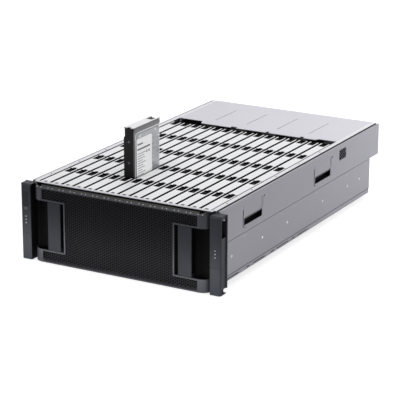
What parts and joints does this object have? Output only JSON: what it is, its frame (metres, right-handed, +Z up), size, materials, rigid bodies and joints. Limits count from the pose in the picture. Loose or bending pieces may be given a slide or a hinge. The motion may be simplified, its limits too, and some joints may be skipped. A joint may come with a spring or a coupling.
{
  "type": "disk shelf enclosure",
  "caption": "Top-loading rack shelf packed with upright disk drives, one drawn out; vented bezel, side lifting pockets, rack ears, rear fans, control modules and power supplies.",
  "frame": {"origin": "centre of the bottom of the overall box, in the plane of the pan's underside", "axes": "+X to the right seen from the front, +Y from the bezel to the rear, +Z up"},
  "size_m": [0.4826, 0.803, 0.2785],
  "materials": {
    "pan_steel": "satin galvanised grey",
    "side_steel": "satin mid grey",
    "cover_steel": "satin pale lavender grey",
    "rail_steel": "satin light grey",
    "wall_steel": "satin light grey",
    "rivet_steel": "satin",
    "board_green": "matt laminate",
    "socket_black": "matt",
    "ear_steel": "satin dark grey",
    "bezel_plastic": "fine grained charcoal",
    "ear_plastic": "fine grained charcoal",
    "mesh_steel": "satin black",
    "grip_plastic": "fine grained slate",
    "pocket_plastic": "matt black",
    "pocket_edge": "matt black",
    "display_glass": "gloss dark",
    "lens_clear": "gloss pale",
    "key_plastic": "matt grey",
    "cap_white": "satin off-white",
    "carrier_black": "satin black",
    "disk_cast": "satin cast",
    "disk_lid": "satin",
    "disk_board": "matt laminate",
    "screw_steel": "bright plated",
    "fan_plastic": "matt black",
    "rotor_plastic": "matt dark grey",
    "module_steel": "satin galvanised grey",
    "lever_plastic": "matt orange brown",
    "supply_steel": "satin grey",
    "handle_plastic": "matt black"
  },
  "bodies": {
    "chassis": {"chassis_pan": "pan_steel", "front_wall": "wall_steel", "cage_walls": "wall_steel", "backplane_board": "board_green", "backplane_sockets": "socket_black", "rear_divider": "pan_steel", "midplane_board": "board_green", "rear_cover": "cover_steel", "side_rivets": "rivet_steel", "lower_side_left": "side_steel", "lower_side_right": "side_steel", "upper_side_left": "side_steel", "upper_side_right": "side_steel", "rail_left": "rail_steel", "rail_right": "rail_steel", "ear_plate_left": "ear_steel", "ear_plate_right": "ear_steel", "pull_grip_left": "grip_plastic", "pull_grip_right": "grip_plastic", "ear_cover_left": "ear_plastic", "ear_cover_right": "ear_plastic", "lift_pockets": "pocket_plastic", "lift_grips": "pocket_edge", "bezel_frame": "bezel_plastic", "bezel_mesh": "mesh_steel", "status_lenses": "lens_clear", "display_window": "display_glass", "seated_drives_1": "cap_white", "seated_drives_2_left": "cap_white", "seated_drives_2_right": "cap_white", "seated_drives_3": "cap_white", "seated_drives_4": "cap_white", "seated_drives_5": "cap_white"},
    "id_button_body": {"id_button": "key_plastic"},
    "drive": {"drive_carrier": "carrier_black", "drive_casting": "disk_cast", "drive_cover": "disk_lid", "drive_board": "disk_board", "drive_screws": "screw_steel"},
    "drive_lever_body": {"drive_lever": "cap_white"},
    "fan_1": {"fan_module_1": "fan_plastic"},
    "impeller_1": {"fan_rotor_1": "rotor_plastic"},
    "fan_2": {"fan_module_2": "fan_plastic"},
    "impeller_2": {"fan_rotor_2": "rotor_plastic"},
    "fan_3": {"fan_module_3": "fan_plastic"},
    "impeller_3": {"fan_rotor_3": "rotor_plastic"},
    "fan_4": {"fan_module_4": "fan_plastic"},
    "impeller_4": {"fan_rotor_4": "rotor_plastic"},
    "fan_5": {"fan_module_5": "fan_plastic"},
    "impeller_5": {"fan_rotor_5": "rotor_plastic"},
    "control_1": {"io_module_1": "module_steel"},
    "control_lever_1": {"io_lever_1": "lever_plastic"},
    "control_2": {"io_module_2": "module_steel"},
    "control_lever_2": {"io_lever_2": "lever_plastic"},
    "supply_1": {"power_supply_1": "supply_steel"},
    "supply_handle_1": {"power_handle_1": "handle_plastic"},
    "supply_2": {"power_supply_2": "supply_steel"},
    "supply_handle_2": {"power_handle_2": "handle_plastic"}
  },
  "joints": [
    {"name": "button_press", "type": "slide", "parent": "chassis", "child": "id_button_body", "axis": [0, 1, 0], "range_m": [0, 0.001], "stiffness_N_per_m": 300},
    {"name": "drive_lift", "type": "slide", "parent": "chassis", "child": "drive", "axis": [0, 0, 1], "range_m": [-0.108, 0.036]},
    {"name": "drive_lever_turn", "type": "hinge", "parent": "drive", "child": "drive_lever_body", "pos_m": [-0.055, -0.2643, 0.277], "axis": [1, 0, 0], "range_deg": [0, 70]},
    {"name": "fan_1_slide", "type": "slide", "parent": "chassis", "child": "fan_1", "axis": [0, 1, 0], "range_m": [0, 0.11]},
    {"name": "fan_1_spin", "type": "hinge", "parent": "fan_1", "child": "impeller_1", "pos_m": [-0.16324, 0.34, 0.1333], "axis": [0, 1, 0], "continuous": true},
    {"name": "fan_2_slide", "type": "slide", "parent": "chassis", "child": "fan_2", "axis": [0, 1, 0], "range_m": [0, 0.11]},
    {"name": "fan_2_spin", "type": "hinge", "parent": "fan_2", "child": "impeller_2", "pos_m": [-0.08162, 0.34, 0.1333], "axis": [0, 1, 0], "continuous": true},
    {"name": "fan_3_slide", "type": "slide", "parent": "chassis", "child": "fan_3", "axis": [0, 1, 0], "range_m": [0, 0.11]},
    {"name": "fan_3_spin", "type": "hinge", "parent": "fan_3", "child": "impeller_3", "pos_m": [0, 0.34, 0.1333], "axis": [0, 1, 0], "continuous": true},
    {"name": "fan_4_slide", "type": "slide", "parent": "chassis", "child": "fan_4", "axis": [0, 1, 0], "range_m": [0, 0.11]},
    {"name": "fan_4_spin", "type": "hinge", "parent": "fan_4", "child": "impeller_4", "pos_m": [0.08162, 0.34, 0.1333], "axis": [0, 1, 0], "continuous": true},
    {"name": "fan_5_slide", "type": "slide", "parent": "chassis", "child": "fan_5", "axis": [0, 1, 0], "range_m": [0, 0.11]},
    {"name": "fan_5_spin", "type": "hinge", "parent": "fan_5", "child": "impeller_5", "pos_m": [0.16324, 0.34, 0.1333], "axis": [0, 1, 0], "continuous": true},
    {"name": "control_1_slide", "type": "slide", "parent": "chassis", "child": "control_1", "axis": [0, 1, 0], "range_m": [0, 0.17]},
    {"name": "control_lever_1_turn", "type": "hinge", "parent": "control_1", "child": "control_lever_1", "pos_m": [0.106, 0.3503, 0.011], "axis": [0, 0, -1], "range_deg": [0, 70]},
    {"name": "control_2_slide", "type": "slide", "parent": "chassis", "child": "control_2", "axis": [0, 1, 0], "range_m": [0, 0.17]},
    {"name": "control_lever_2_turn", "type": "hinge", "parent": "control_2", "child": "control_lever_2", "pos_m": [0.106, 0.3503, 0.05915], "axis": [0, 0, -1], "range_deg": [0, 70]},
    {"name": "supply_1_slide", "type": "slide", "parent": "chassis", "child": "supply_1", "axis": [0, 1, 0], "range_m": [0, 0.17]},
    {"name": "supply_handle_1_turn", "type": "hinge", "parent": "supply_1", "child": "supply_handle_1", "pos_m": [-0.1582, 0.3512, 0.0853], "axis": [1, 0, 0], "range_deg": [0, 90]},
    {"name": "supply_2_slide", "type": "slide", "parent": "chassis", "child": "supply_2", "axis": [0, 1, 0], "range_m": [0, 0.17]},
    {"name": "supply_handle_2_turn", "type": "hinge", "parent": "supply_2", "child": "supply_handle_2", "pos_m": [0.1582, 0.3512, 0.0853], "axis": [1, 0, 0], "range_deg": [0, 90]}
  ]
}
